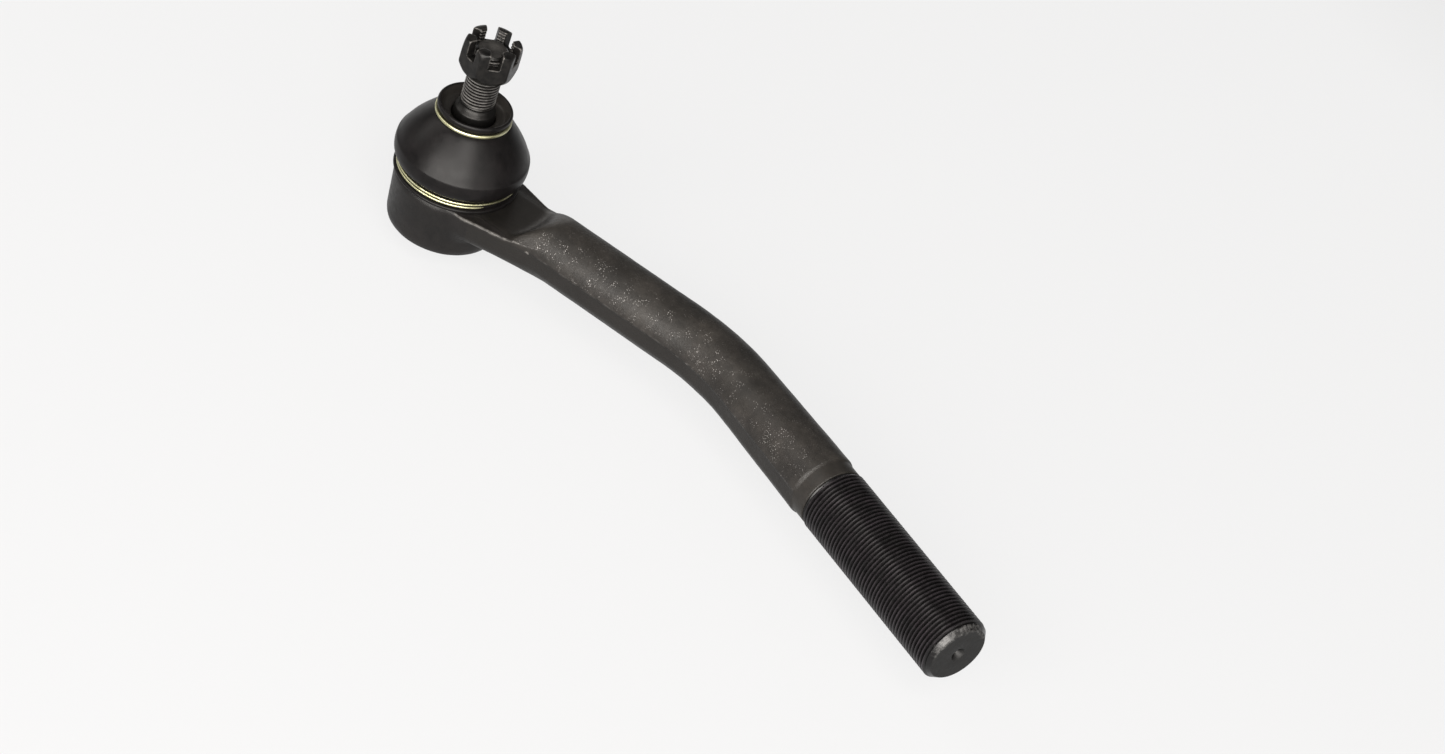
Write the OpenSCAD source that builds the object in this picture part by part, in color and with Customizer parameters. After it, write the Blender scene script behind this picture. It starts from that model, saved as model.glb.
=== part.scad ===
// Tie rod end: forged body with a cranked, threaded shank and a ball stud standing up out of it.
// Units are millimetres. The origin is the centre of the ball, +Z runs up the stud, and +X runs
// along the first leg of the bar. The bar bends towards -Y.

/* [Ball joint] */
// Radius of the ball
ball_r = 13.5; // [13.2:0.1:13.6]
// Clearance between the ball and its seats, taken up by grease
ball_gap = 0.06; // [0.03:0.01:0.1]
// Radius of the stud's neck, just above the ball
neck_r = 7.6; // [7.2:0.1:7.6]
// Radius of the taper at its wide end
taper_wide_r = 8.7; // [8.3:0.1:8.8]
// Radius of the taper at its narrow end
taper_narrow_r = 7.6; // [7.2:0.1:7.8]
// Radius of the stud's thread
stud_thread_r = 6.35; // [6:0.05:6.5]
// Height of the stud's end above the ball's centre
stud_top = 59.5; // [58:0.5:62]
// Radius of the cross hole for a cotter pin
cotter_r = 1.8; // [1.4:0.1:2]

/* [Castle nut] */
// Width across the nut's flats
nut_flats = 19.05; // [18:0.05:21]
// Height of the nut's lower face
nut_bottom = 49.8; // [48:0.1:51]
// Height of the nut
nut_height = 13.1; // [11:0.1:13.5]
// Width of each of the nut's slots
slot_width = 4.2; // [3.6:0.1:4.6]
// Depth of the slots below the nut's top
slot_depth = 6.2; // [5:0.1:7]

/* [Housing] */
// Radius of the housing at its shoulder
housing_r = 22.4; // [22:0.1:23]
// Depth of the housing's bottom rim below the ball's centre
housing_bottom = 20.4; // [20:0.1:21]
// Height of the machined face that the boot sits on
seat_z = 2.4; // [2:0.1:2.6]

/* [Bar] */
// Radius of the bar
bar_r = 12.4; // [11.5:0.1:12.6]
// Length of the first leg, from the ball's centre to the bend
first_leg = 104.5; // [90:0.5:120]
// Radius of the bend, along the middle of the bar
bend_r = 96; // [80:1:120]
// Angle of the bend
bend_angle = 21.5; // [15:0.5:30]
// Length of the second leg, from the bend to the collar
second_leg = 48; // [40:1:60]

/* [Shank] */
// Radius of the shank's thread
shank_r = 12.7; // [12:0.05:12.9]
// Length of the threaded part
thread_length = 76; // [60:1:90]
// Length of the plain collar before the thread
collar_length = 6; // [4:0.5:8]

/* [Hidden] */
$fn = 96;

// Height at which the boot's lower ring lies, and the boot's top lip
lower_ring_z = 5.5;
lip_top = 34;
// Socket: bore for the seats, mouth for the stud, counterbore for the cover
socket_r = 15.6;
mouth_r = 13.2;
cover_r = 17.2;
neck_top = 9.5;
mouth_z = 7.5;
cover_top = -16.7;
cover_bottom = -19.3;
opening_r = 15.2;
fit_gap = 0.05;
// Lathe cut that lets the boot clear the bar: radius of its floor, slope of its wall, and its top
cut_r = 36.8;
cut_slope = 50;
cut_top = 20;
// Web between the housing and the bar: its depth, and half its width beside the housing
web_depth = 10.5;
web_half = 18.5;
// The straight legs run on into the bend, and are thinner by a hair so that no surfaces coincide
leg_overlap = 2;
leg_step = 0.05;
// How much the second leg's radius grows towards the collar
bar_swell = 0.7;
shank_end = second_leg + collar_length + thread_length;
thread_chamfer = 2;
// Seats of the ball: bore of the upper one, grease hole and height range of the lower one
upper_bore_r = 9;
lower_bore_r = 3.5;
lower_seat_bottom = -14.3;
lower_seat_top = -1.1;
// Distance of the cross hole below the stud's end
cotter_drop = 4.9;
// Angle that turns the cross hole and the nut's slots to face forwards and to the right
slot_angle = -46.5;
// Grease fitting: it hangs under the cover
fitting_r = 3.17;
fitting_hex = 8;
fitting_tip = -29.2;
valve_r = 1.1;
// Seat of the valve ball, and the far end of its spring
valve_seat = -28.6;
spring_top = -19;

// Turns its children about Z and puts them at the far end of the bend, pointing along the second leg
module at_second_leg() {
    translate([first_leg, -bend_r, 0])
        rotate([0, 0, -bend_angle])
            translate([0, bend_r, 0])
                children();
}

// A straight round bar along +X, of length l, starting at distance x0
module round_bar(x0, l, r0, r1) {
    translate([x0, 0, 0])
        rotate([0, 90, 0])
            cylinder(h = l, r1 = r0, r2 = r1);
}

// ---------- forged body ----------

module housing_outside() {
    rotate_extrude()
        polygon([[0, -housing_bottom], [18.2, -housing_bottom], [20.2, -19.7], [21.2, -17.8],
            [housing_r, 0.6], [21.4, seat_z], [19.5, seat_z], [19.5, 7.9], [20.2, 8.1],
            [20.2, 8.9], [19.6, neck_top], [0, neck_top]]);
}

// Flat web between the housing and the bar, a little wider than the bar
module web() {
    translate([0, 0, -web_depth])
        linear_extrude(web_depth + seat_z)
            polygon([[0, -web_half], [17, -web_half], [34, -bar_r - 1.9], [42, -bar_r + 0.8],
                [42, bar_r - 0.8], [34, bar_r + 1.9], [17, web_half], [0, web_half]]);
}

module bar() {
    round_bar(0, first_leg + leg_overlap, bar_r - leg_step, bar_r - leg_step);
    translate([first_leg, -bend_r, 0])
        rotate([0, 0, 90 - bend_angle])
            rotate_extrude(angle = bend_angle)
                translate([bend_r, 0])
                    circle(r = bar_r);
    at_second_leg()
        round_bar(-leg_overlap, second_leg + leg_overlap, bar_r - leg_step, bar_r + bar_swell);
}

// Removes everything that would foul the boot: a flat floor with a sloping wall
module boot_cut() {
    wall_r = cut_r + (cut_top - seat_z) / tan(cut_slope);
    rotate_extrude()
        polygon([[0, seat_z], [cut_r, seat_z], [wall_r, cut_top], [0, cut_top]]);
}

// Shank along +X: plain collar, thread at its crest diameter, chamfered end
module shank() {
    x0 = second_leg;
    x1 = x0 + collar_length;
    face_r = shank_r - thread_chamfer;
    rotate([0, 90, 0])
        rotate_extrude()
            polygon([[0, x0 - 1], [shank_r - 0.35, x0 - 1], [shank_r - 0.35, x1], [shank_r, x1 + 0.4],
                [shank_r, shank_end - thread_chamfer], [face_r, shank_end], [0, shank_end]]);
}

// Lathe centre drilled into the shank's end
module lathe_centre() {
    rotate([0, 90, 0])
        rotate_extrude()
            polygon([[0, shank_end - 6], [1.1, shank_end - 6], [1.1, shank_end - 3],
                [2.6, shank_end - 0.4], [2.6, shank_end + 1], [0, shank_end + 1]]);
}

module socket() {
    rotate_extrude()
        polygon([[0, -housing_bottom - 1], [opening_r, -housing_bottom - 1], [opening_r, cover_bottom],
            [cover_r, cover_bottom], [cover_r, cover_top], [socket_r, cover_top],
            [socket_r, mouth_z], [mouth_r, mouth_z], [mouth_r, neck_top + 1], [0, neck_top + 1]]);
}

module forged_body() {
    color("#2b2927")
        difference() {
            union() {
                housing_outside();
                difference() {
                    union() {
                        web();
                        bar();
                    }
                    boot_cut();
                }
                at_second_leg()
                    shank();
            }
            socket();
            at_second_leg()
                lathe_centre();
        }
}

// ---------- ball stud and nut ----------

module ball_stud() {
    color("#3a3836")
        difference() {
            union() {
                sphere(r = ball_r);
                rotate_extrude()
                    polygon([[0, 5], [neck_r, 5], [neck_r, 14.5], [taper_wide_r, 16.2], [taper_wide_r, 17.2],
                        [taper_narrow_r, 33], [7.1, 33.8], [6, 35], [6, 35.6], [stud_thread_r, 36],
                        [stud_thread_r, stud_top - 1.1], [5.2, stud_top], [0, stud_top]]);
            }
            // flat under the ball
            translate([0, 0, -ball_r - 8.8])
                cylinder(h = 10, r = 10);
            // dimple in the stud's end
            translate([0, 0, stud_top - 1.2])
                cylinder(h = 2, r1 = 0.6, r2 = 3);
            translate([0, 0, stud_top - cotter_drop])
                rotate([90, 0, slot_angle + 90])
                    cylinder(h = 20, r = cotter_r, center = true);
        }
}

module castle_nut() {
    corner_r = nut_flats / sqrt(3);
    top = nut_bottom + nut_height;
    color("#343230")
        difference() {
            intersection() {
                translate([0, 0, nut_bottom])
                    rotate([0, 0, slot_angle + 30])
                        cylinder(h = nut_height, r = corner_r, $fn = 6);
                // turned shape: broad chamfer below, rounded crown above
                rotate_extrude()
                    polygon([[0, nut_bottom - 1], [9, nut_bottom - 0.4], [corner_r + 0.5, nut_bottom + 3],
                        [corner_r + 0.5, top - 4.8], [10.5, top - 1.3], [9.9, top - 0.4],
                        [9, top], [0, top + 1]]);
            }
            translate([0, 0, nut_bottom - 1])
                cylinder(h = nut_height + 2, r = stud_thread_r + fit_gap);
            for (k = [0:2])
                rotate([0, 0, slot_angle + 60 * k])
                    translate([-15, -slot_width / 2, top - slot_depth])
                        cube([30, slot_width, slot_depth + 1]);
        }
}

// ---------- boot and rings ----------

module dust_boot() {
    color("#1d1c1b")
        rotate_extrude()
            polygon([[19.6, 2.5], [23.2, 2.6], [23.3, 3.6], [22.6, 4.1], [21.6, 4.2], [21.6, 6.8],
                [21.9, 7.4], [23.8, 8.4], [24.75, 10], [24.95, 11.8], [24.8, 13.6], [24.4, 15.4], [22.6, 18.6],
                [19.3, 23.2], [15.9, 27.2], [14, 29], [13, 29.5], [13, 31.1], [13.5, 31.6],
                [13.9, 32.8], [13.8, 33.8], [13.2, lip_top], [12.6, 33.6], [11.8, 31.2], [11, 30.2],
                [8.9, 29.9], [8.3, 29.3], [8.9, 28.6], [11.2, 28.3], [13.6, 26.6], [17, 22.4],
                [20.3, 17.8], [22.2, 14.2], [22.7, 11.8], [22.1, 9.9], [20.6, 9], [20.4, 7.8],
                [19.6, 7.7]]);
}

module wire_ring(inner_r, z, wire_w, wire_h) {
    rotate_extrude()
        translate([inner_r, z - wire_h / 2])
            square([wire_w, wire_h]);
}

module boot_upper_ring() {
    color("#c9c489")
        wire_ring(13.05, 30.3, 1, 1.4);
}

module boot_lower_ring() {
    color("#c9c489")
        wire_ring(21.65, lower_ring_z, 1.1, 2.5);
}

// ---------- socket pieces ----------

module upper_bearing() {
    color("#d8d2c0")
        difference() {
            rotate_extrude()
                polygon([[upper_bore_r, 0.4], [socket_r - fit_gap, 0.4],
                    [socket_r - fit_gap, mouth_z - fit_gap], [upper_bore_r, mouth_z - fit_gap]]);
            sphere(r = ball_r + ball_gap);
            // flare that the neck swings into
            translate([0, 0, 6.5])
                cylinder(h = 3, r1 = 11.9, r2 = 14.9);
        }
}

module lower_bearing() {
    color("#8c8a86")
        difference() {
            translate([0, 0, lower_seat_bottom])
                cylinder(h = lower_seat_top - lower_seat_bottom, r = socket_r - fit_gap);
            sphere(r = ball_r + ball_gap);
            translate([0, 0, lower_seat_bottom - 1])
                cylinder(h = 10, r = lower_bore_r);
        }
}

// Coned disc spring between the cover and the lower bearing
module preload_spring() {
    color("#77736e")
        rotate_extrude()
            polygon([[8, -15.2], [13.5, -16.6], [13.5, -15.8], [8, -14.4]]);
}

module cover_plate() {
    color("#4a4744")
        difference() {
            union() {
                translate([0, 0, cover_bottom + fit_gap])
                    cylinder(h = cover_top - cover_bottom - 2 * fit_gap, r = cover_r - fit_gap);
                translate([0, 0, cover_top - 1])
                    cylinder(h = 2.6, r = 6);
            }
            translate([0, 0, cover_bottom - 1])
                cylinder(h = 8, r = fitting_r + fit_gap);
        }
}

module grease_fitting() {
    hex_top = cover_bottom - 0.02;
    color("#a9a59a")
        difference() {
            union() {
                translate([0, 0, hex_top - 3.2])
                    cylinder(h = 3.2, r = fitting_hex / sqrt(3), $fn = 6);
                rotate_extrude()
                    polygon([[0, fitting_tip], [1.9, fitting_tip], [3.2, -27.6], [3.2, -26.2],
                        [2.2, -25], [2.2, -23.4], [fitting_r, -22.8], [fitting_r, -16],
                        [2.7, -15.4], [0, -15.4]]);
            }
            translate([0, 0, valve_seat])
                cylinder(h = spring_top - valve_seat, r = valve_r + 0.05);
            // mouth and outlet, too narrow for the valve ball and its spring
            translate([0, 0, fitting_tip - 1])
                cylinder(h = 16, r = valve_r - 0.3);
        }
}

module grease_check_ball() {
    color("#bdbab2")
        translate([0, 0, valve_seat + 0.75])
            sphere(r = valve_r - 0.02);
}

// Coil spring behind the check ball, as a closed tube
module grease_check_spring() {
    bottom = valve_seat + 1.9;
    color("#b0ada5")
        difference() {
            translate([0, 0, bottom])
                cylinder(h = spring_top - bottom - 0.05, r = valve_r - 0.02);
            translate([0, 0, bottom - 1])
                cylinder(h = 12, r = valve_r - 0.4);
        }
}

forged_body();
ball_stud();
castle_nut();
dust_boot();
boot_upper_ring();
boot_lower_ring();
upper_bearing();
lower_bearing();
preload_spring();
cover_plate();
grease_fitting();
grease_check_ball();
grease_check_spring();
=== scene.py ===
"""Tie rod end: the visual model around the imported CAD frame.

Shapes are worked out in millimetres, in the part's own frame: the ball's centre is the origin, +Z runs
up the stud and +X runs along the first leg of the bar. Blender's meshes are in metres.
"""

import functools
import math

import bmesh
import bpy
import numpy as np
from mathutils import Matrix, Vector, noise


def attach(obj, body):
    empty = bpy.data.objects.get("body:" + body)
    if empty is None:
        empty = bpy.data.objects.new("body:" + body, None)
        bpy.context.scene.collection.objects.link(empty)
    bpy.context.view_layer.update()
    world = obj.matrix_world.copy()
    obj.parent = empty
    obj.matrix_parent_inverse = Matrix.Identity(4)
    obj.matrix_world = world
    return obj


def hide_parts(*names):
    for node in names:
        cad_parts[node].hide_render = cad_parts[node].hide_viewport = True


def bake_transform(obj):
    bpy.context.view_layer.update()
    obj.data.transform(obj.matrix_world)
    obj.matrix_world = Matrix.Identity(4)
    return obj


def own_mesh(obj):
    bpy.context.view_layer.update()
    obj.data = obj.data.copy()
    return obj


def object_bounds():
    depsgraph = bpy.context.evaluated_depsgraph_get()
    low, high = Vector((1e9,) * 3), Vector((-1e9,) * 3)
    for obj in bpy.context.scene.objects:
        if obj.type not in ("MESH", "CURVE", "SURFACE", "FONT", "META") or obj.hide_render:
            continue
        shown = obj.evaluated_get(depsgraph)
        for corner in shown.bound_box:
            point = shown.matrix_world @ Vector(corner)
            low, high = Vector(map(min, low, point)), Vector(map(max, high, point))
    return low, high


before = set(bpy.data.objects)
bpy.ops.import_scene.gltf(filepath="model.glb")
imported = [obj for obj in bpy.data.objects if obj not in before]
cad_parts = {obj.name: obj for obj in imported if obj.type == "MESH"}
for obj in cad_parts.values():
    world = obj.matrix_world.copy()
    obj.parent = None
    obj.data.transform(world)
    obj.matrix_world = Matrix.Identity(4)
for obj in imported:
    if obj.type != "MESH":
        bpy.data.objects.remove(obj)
cad_bounds = [list(corner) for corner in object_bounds()]

MM = 0.001
TURN = 2 * math.pi

# ---------- sizes, in millimetres ----------

HOUSING_R = 22.4
HOUSING_BOTTOM = -20.4
SEAT_Z = 2.4
NECK_R = 19.5
NECK_TOP = 9.5
SOCKET_R = 15.6
MOUTH_R = 13.2
MOUTH_Z = 7.5
COVER_R = 17.2
COVER_TOP = -16.7
COVER_BOTTOM = -19.3
LIP_R = 15.2

BAR_R = 12.4
FIRST_LEG = 104.5
BEND_R = 96.0
BEND_ANGLE = math.radians(21.5)
SECOND_LEG = 48.0
BAR_SWELL = 0.7
BAR_END = FIRST_LEG + BEND_R * BEND_ANGLE + SECOND_LEG
FORGING_LOW = (-24, -66.5, -21.5)
FORGING_HIGH = (212, 24, 14.5)

COLLAR_LENGTH = 6.0
COLLAR_R = 12.35
COLLAR_LET_IN = 1.8
THREAD_LENGTH = 76.0
SHANK_R = 12.7
SHANK_PITCH = 25.4 / 16
SHANK_END = SECOND_LEG + COLLAR_LENGTH + THREAD_LENGTH
THREAD_DEPTH_PER_PITCH = 0.61

BALL_R = 13.5
BALL_FLAT_Z = -12.3
STUD_NECK_R = 7.6
TAPER_BIG_R = 8.7
TAPER_SMALL_R = 7.6
TAPER_START = 17.2
TAPER_LENGTH = 15.7
RELIEF_R = 5.9
STUD_THREAD_R = 6.35
STUD_THREAD_START = 35.4
STUD_PITCH = 25.4 / 20
STUD_TOP = 59.5
COTTER_R = 1.8
COTTER_BELOW_TOP = 4.9
SLOT_ANGLE = math.radians(-46.5)

NUT_FLATS = 19.05
NUT_BOTTOM = 49.8
NUT_HEIGHT = 13.1
NUT_TOP = NUT_BOTTOM + NUT_HEIGHT
NUT_BORE_R = 6.42
SLOT_WIDTH = 4.2
SLOT_DEPTH = 6.2

FITTING_FLATS = 8.0
FITTING_TIP = -29.2
SPRING_BOTTOM = -26.7
SPRING_TOP = -19.05
SPRING_R = 0.86
SPRING_WIRE = 0.26
SPRING_COILS = 7.0


# ---------- meshes ----------


def shade(piece, sharp_angle):
    """Smooth shading, with the edges that turn by more than sharp_angle degrees kept sharp."""
    piece.data.shade_smooth()
    piece.data.set_sharp_from_angle(angle=math.radians(sharp_angle))


def make_object(name, vertices, faces, sharp_angle):
    """An object from vertices in millimetres."""
    mesh = bpy.data.meshes.new(name)
    mesh.from_pydata((np.asarray(vertices) * MM).tolist(), [], faces)
    mesh.validate()
    piece = bpy.data.objects.new(name, mesh)
    bpy.context.scene.collection.objects.link(piece)
    shade(piece, sharp_angle)
    return piece


def weld(piece, distance=0.002):
    """Joins vertices that lie together, and drops the faces that this leaves without an area."""
    work = bmesh.new()
    work.from_mesh(piece.data)
    bmesh.ops.remove_doubles(work, verts=work.verts, dist=distance * MM)
    bmesh.ops.dissolve_degenerate(work, edges=work.edges, dist=distance * MM / 10)
    bmesh.ops.recalc_face_normals(work, faces=work.faces)
    work.to_mesh(piece.data)
    work.free()


def positions(piece):
    """The piece's vertices in millimetres, as an array."""
    out = np.zeros(len(piece.data.vertices) * 3)
    piece.data.vertices.foreach_get("co", out)
    return out.reshape(-1, 3) / MM


def vertex_normals(piece):
    """The piece's outward directions at its vertices, as an array."""
    out = np.zeros(len(piece.data.vertices) * 3)
    piece.data.vertex_normals.foreach_get("vector", out)
    return out.reshape(-1, 3)


def cut(piece, tool):
    """Takes the tool's volume out of the piece, and deletes the tool."""
    boolean = piece.modifiers.new("cut", "BOOLEAN")
    boolean.operation = "DIFFERENCE"
    boolean.solver = "EXACT"
    boolean.object = tool
    graph = bpy.context.evaluated_depsgraph_get()
    result = bpy.data.meshes.new_from_object(piece.evaluated_get(graph))
    piece.modifiers.clear()
    piece.data = result
    bpy.data.objects.remove(tool)


def store(piece, name, values):
    """Keeps one number per vertex for the materials to read."""
    attribute = piece.data.attributes.new(name, "FLOAT", "POINT")
    attribute.data.foreach_set("value", np.asarray(values, np.float32))


def store_edges(piece, reach):
    """Stores 'edge' per vertex: 1 where the surface bends outwards within about reach, 0 where it is flat."""
    mesh = piece.data
    ends = np.zeros(len(mesh.edges) * 2, int)
    mesh.edges.foreach_get("vertices", ends)
    a, b = ends.reshape(-1, 2).T
    normals = vertex_normals(piece)
    points = positions(piece)
    along = points[b] - points[a]
    length2 = np.maximum((along**2).sum(1), 1e-9)
    bend = ((normals[b] - normals[a]) * along).sum(1) / length2
    count = len(points)
    hits = np.maximum(np.bincount(a, minlength=count) + np.bincount(b, minlength=count), 1)
    value = (np.bincount(a, bend, count) + np.bincount(b, bend, count)) / hits
    for _ in range(2):
        nearby = np.bincount(a, value[b], count) + np.bincount(b, value[a], count)
        value = (value + nearby / hits) / 2
    store(piece, "edge", np.clip(value * reach, 0, 1))


# ---------- turned and threaded pieces ----------


def ring_row(z, r, columns):
    """One row of a turned surface: the same height and radius all the way round."""
    return np.full(columns + 1, float(z)), np.full(columns + 1, float(r))


# One turn of a thread's profile: share of the pitch along it, and height from root (0) to crest (1).
THREAD_PROFILE = [(0.0, 0.0), (0.06, 0.0), (0.22, 0.5), (0.39, 1.0), (0.61, 1.0), (0.78, 0.5), (0.94, 0.0)]


def thread_rows(start, end, pitch, crest, root, entry, ends_at, chamfer, columns):
    """Rows of a right-hand thread that follow its helix. The thread grows out of radius entry at start,
    and a cone of height chamfer brings it down to radius ends_at at end."""
    shear = np.arange(columns + 1) / columns
    rows = []
    turns = int((end - start) / pitch) + 3
    for turn in range(-2, turns):
        for share, height in THREAD_PROFILE:
            z = np.clip(start + pitch * (turn + share + shear), start, end)
            grown = np.clip((z - start) / pitch, 0, 1)
            r = entry + (root + (crest - root) * height - entry) * grown
            cone = ends_at + (crest - ends_at) * (end - z) / chamfer
            rows.append((z, np.minimum(r, cone)))
    return rows


def turned(name, rows, columns, sharp_angle):
    """A closed surface of revolution from rows that start and end on the axis."""
    angle = TURN * np.arange(columns + 1) / columns
    z = np.array([row[0] for row in rows])
    r = np.array([row[1] for row in rows])
    points = np.stack([r * np.cos(angle), r * np.sin(angle), z], -1).reshape(-1, 3)
    i, j = np.meshgrid(np.arange(len(rows) - 1), np.arange(columns), indexing="ij")
    a = (i * (columns + 1) + j).ravel()
    faces = np.stack([a, a + 1, a + columns + 2, a + columns + 1], 1)
    piece = make_object(name, points, faces.tolist(), sharp_angle)
    weld(piece)
    shade(piece, sharp_angle)
    return piece


def arc(radius, start, end, count):
    """Points (r, z) along an arc about the origin, between angles in degrees from outwards."""
    angles = np.radians(np.linspace(start, end, count))
    return [(radius * math.cos(t), radius * math.sin(t)) for t in angles]


def softened(points, rounds=2):
    """Cuts the corners off a closed outline, again and again, to round it."""
    for _ in range(rounds):
        cut_points = []
        for (ax, ay), (bx, by) in zip(points, points[1:] + points[:1]):
            cut_points.append((0.75 * ax + 0.25 * bx, 0.75 * ay + 0.25 * by))
            cut_points.append((0.25 * ax + 0.75 * bx, 0.25 * ay + 0.75 * by))
        points = cut_points
    return points


def lathe(name, outline, columns):
    """Turns a closed outline of (r, z) points about the axis."""
    rows = [ring_row(z, r, columns) for r, z in outline + outline[:1]]
    return turned(name, rows, columns, 40)


WIRE_SIDES = 16
WIRE_SQUARENESS = 0.6
WIRE_END_TAPER = 0.7


def wire_section(width, thickness):
    """A rounded rectangle, as (outwards, upwards) points round the wire."""
    section = []
    for t in TURN * (np.arange(WIRE_SIDES) + 0.5) / WIRE_SIDES:
        out = math.copysign(abs(math.cos(t)) ** WIRE_SQUARENESS, math.cos(t))
        up = math.copysign(abs(math.sin(t)) ** WIRE_SQUARENESS, math.sin(t))
        section.append((width / 2 * out, thickness / 2 * up))
    return section


def wound_wire(name, radius, rise, turns, start, width, thickness, bottom, steps_per_turn=120):
    """Wire wound about the axis from the angle start. At turn t its centre is rise(t) above bottom."""
    section = wire_section(width, thickness)
    count = int(turns * steps_per_turn)
    points = []
    for k in range(count + 1):
        t = turns * k / count
        angle = start + TURN * t
        size = 1 - WIRE_END_TAPER * max(0.0, 1 - min(k, count - k) / 2)
        for out, up in section:
            r = radius + out * size
            points.append((r * math.cos(angle), r * math.sin(angle), bottom + rise(t) + up * size))
    sides = len(section)
    faces = [
        (k * sides + j, k * sides + (j + 1) % sides, (k + 1) * sides + (j + 1) % sides, (k + 1) * sides + j)
        for k in range(count)
        for j in range(sides)
    ]
    faces.append(tuple(range(sides))[::-1])
    faces.append(tuple(count * sides + j for j in range(sides)))
    piece = make_object(name, points, faces, 60)
    weld(piece, 0.0005)
    return piece


# ---------- shapes given by a distance field ----------


def smooth_min(a, b, k):
    """The union of two fields with a fillet of size k."""
    h = np.clip(0.5 + 0.5 * (b - a) / k, 0, 1)
    return b + (a - b) * h - k * h * (1 - h)


def smooth_max(a, b, k):
    """The common part of two fields with a rounded edge of size k."""
    return -smooth_min(-a, -b, k)


def disc(r, z, radius, bottom, top):
    """A cylinder about the axis."""
    return np.maximum(r - radius, np.maximum(bottom - z, z - top))


def common_part(fields, k):
    """What several fields have in common, its edges rounded by k, or left sharp where k is 0."""
    join = functools.partial(smooth_max, k=k) if k else np.maximum
    return functools.reduce(join, fields)


def convex(u, v, points, k=0.0):
    """A convex outline, its points given anticlockwise, as the common part of its edges' half planes."""
    sides = (
        ((by - ay) * (u - ax) - (bx - ax) * (v - ay)) / math.hypot(bx - ax, by - ay)
        for (ax, ay), (bx, by) in zip(points, points[1:] + points[:1])
    )
    return common_part(sides, k)


def hexagon(x, y, flats, turn, k=0.0):
    """A hexagon about the axis, flats wide, with two of its faces square to the angle turn."""
    angles = (turn + math.radians(60 * number) for number in range(3))
    sides = (np.abs(x * math.cos(angle) + y * math.sin(angle)) - flats / 2 for angle in angles)
    return common_part(sides, k)


def net_mesh(name, field, low, high, step):
    """The surface where field(x, y, z) is zero, as quads of about the given step."""
    low = np.array(low, float)
    counts = np.ceil((np.array(high) - low) / step).astype(int) + 1
    x, y, z = (low[a] + step * np.arange(counts[a]) for a in range(3))
    values = field(x[:, None, None], y[None, :, None], z[None, None, :])
    stride = np.array([counts[1] * counts[2], counts[2], 1])
    rings, crossings = [], []
    for axis in range(3):
        before = np.take(values, range(counts[axis] - 1), axis)
        after = np.take(values, range(1, counts[axis]), axis)
        at = np.argwhere((before < 0) != (after < 0))
        a, b = before[tuple(at.T)], after[tuple(at.T)]
        place = at.astype(float)
        place[:, axis] += a / (a - b)
        cell = at @ stride
        u, v = stride[(axis + 1) % 3], stride[(axis + 2) % 3]
        ring = np.stack([cell, cell - u, cell - u - v, cell - v], 1)
        ring[a > b] = ring[a > b][:, ::-1]
        rings.append(ring)
        crossings.append(place)
    rings = np.concatenate(rings)
    crossings = np.repeat(np.concatenate(crossings), 4, 0)
    _, index = np.unique(rings, return_inverse=True)
    index = index.reshape(-1)
    hits = np.bincount(index)
    points = np.stack([np.bincount(index, crossings[:, k]) / hits for k in range(3)], 1) * step + low
    for _ in range(2):
        points = pull_to_surface(field, points)
    return make_object(name, points, index.reshape(-1, 4).tolist(), 180)


PROBE = 0.02
LONGEST_PULL = 0.4


def pull_to_surface(field, points):
    """Moves points along the field's slope onto its zero level."""
    here = at_points(field, points)
    slope = np.stack(
        [
            (at_points(field, points + PROBE * unit) - at_points(field, points - PROBE * unit)) / (2 * PROBE)
            for unit in np.eye(3)
        ],
        1,
    )
    step = here / np.maximum((slope**2).sum(1), 0.25)
    return points - np.clip(step, -LONGEST_PULL, LONGEST_PULL)[:, None] * slope


def at_points(field, points):
    """The field's values at an array of points."""
    return field(points[:, 0], points[:, 1], points[:, 2])


# ---------- forging ----------


def along_bar(x, y):
    """Distance along the bar's centreline and sideways from it, to the left."""
    turn = np.clip(np.arctan2(x - FIRST_LEG, y + BEND_R), 0, BEND_ANGLE)
    turn = np.where(x > FIRST_LEG, turn, 0)
    off_x = x - FIRST_LEG - BEND_R * np.sin(turn)
    off_y = y + BEND_R - BEND_R * np.cos(turn)
    s = FIRST_LEG + BEND_R * turn + off_x * np.cos(turn) - off_y * np.sin(turn)
    return s, off_x * np.sin(turn) + off_y * np.cos(turn)


DRAFT = math.radians(7)
PARTING_Z = 1.0
PARTING_STEP = 0.4
SHOULDER_R = 12.3
SHOULDER_SLOPE = 0.8
SHOULDER_COSINE = 0.78


def bar_field(s, side, z):
    """Round above the parting line; below it a drafted flat, set in by a small step."""
    swell = np.clip((s - BAR_END + SECOND_LEG) / SECOND_LEG, 0, 1)
    radius = BAR_R - 0.05 + BAR_SWELL * swell
    width = np.abs(side)
    round_bar = np.hypot(width, z) - radius
    flat = (width - radius) * math.cos(DRAFT) - (z - PARTING_Z) * math.sin(DRAFT) + PARTING_STEP
    lower = smooth_max(round_bar, flat, 0.3)
    bar = np.minimum(lower, np.maximum(round_bar, PARTING_Z - z))
    # the turned shoulder in front of the collar
    shoulder = (np.hypot(side, z) - SHOULDER_R + (s - BAR_END) * SHOULDER_SLOPE) * SHOULDER_COSINE
    return smooth_max(bar, np.maximum(shoulder, s - BAR_END - 0.3), 0.4)


WEB_DEPTH = 10.5
# half the web's width at each distance from the ball
WEB_WIDTHS = {17.0: 18.5, 34.0: 14.3, 42.0: 11.6, 52.0: 7.0}
WEB_END_X = max(WEB_WIDTHS)


def web_field(x, y, z):
    """Flat piece between the housing and the bar, with drafted sides."""
    width = np.interp(x, list(WEB_WIDTHS), list(WEB_WIDTHS.values()))
    side = (np.abs(y) - width + (SEAT_Z - z) * math.tan(DRAFT)) * 0.95
    ends = np.maximum(-x, x - WEB_END_X)
    bottom = -WEB_DEPTH - z
    return np.maximum(np.maximum(smooth_max(side, bottom, 6.0), z - SEAT_Z), ends)


CUT_R = 36.8
CUT_SLOPE = math.radians(50)


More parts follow.
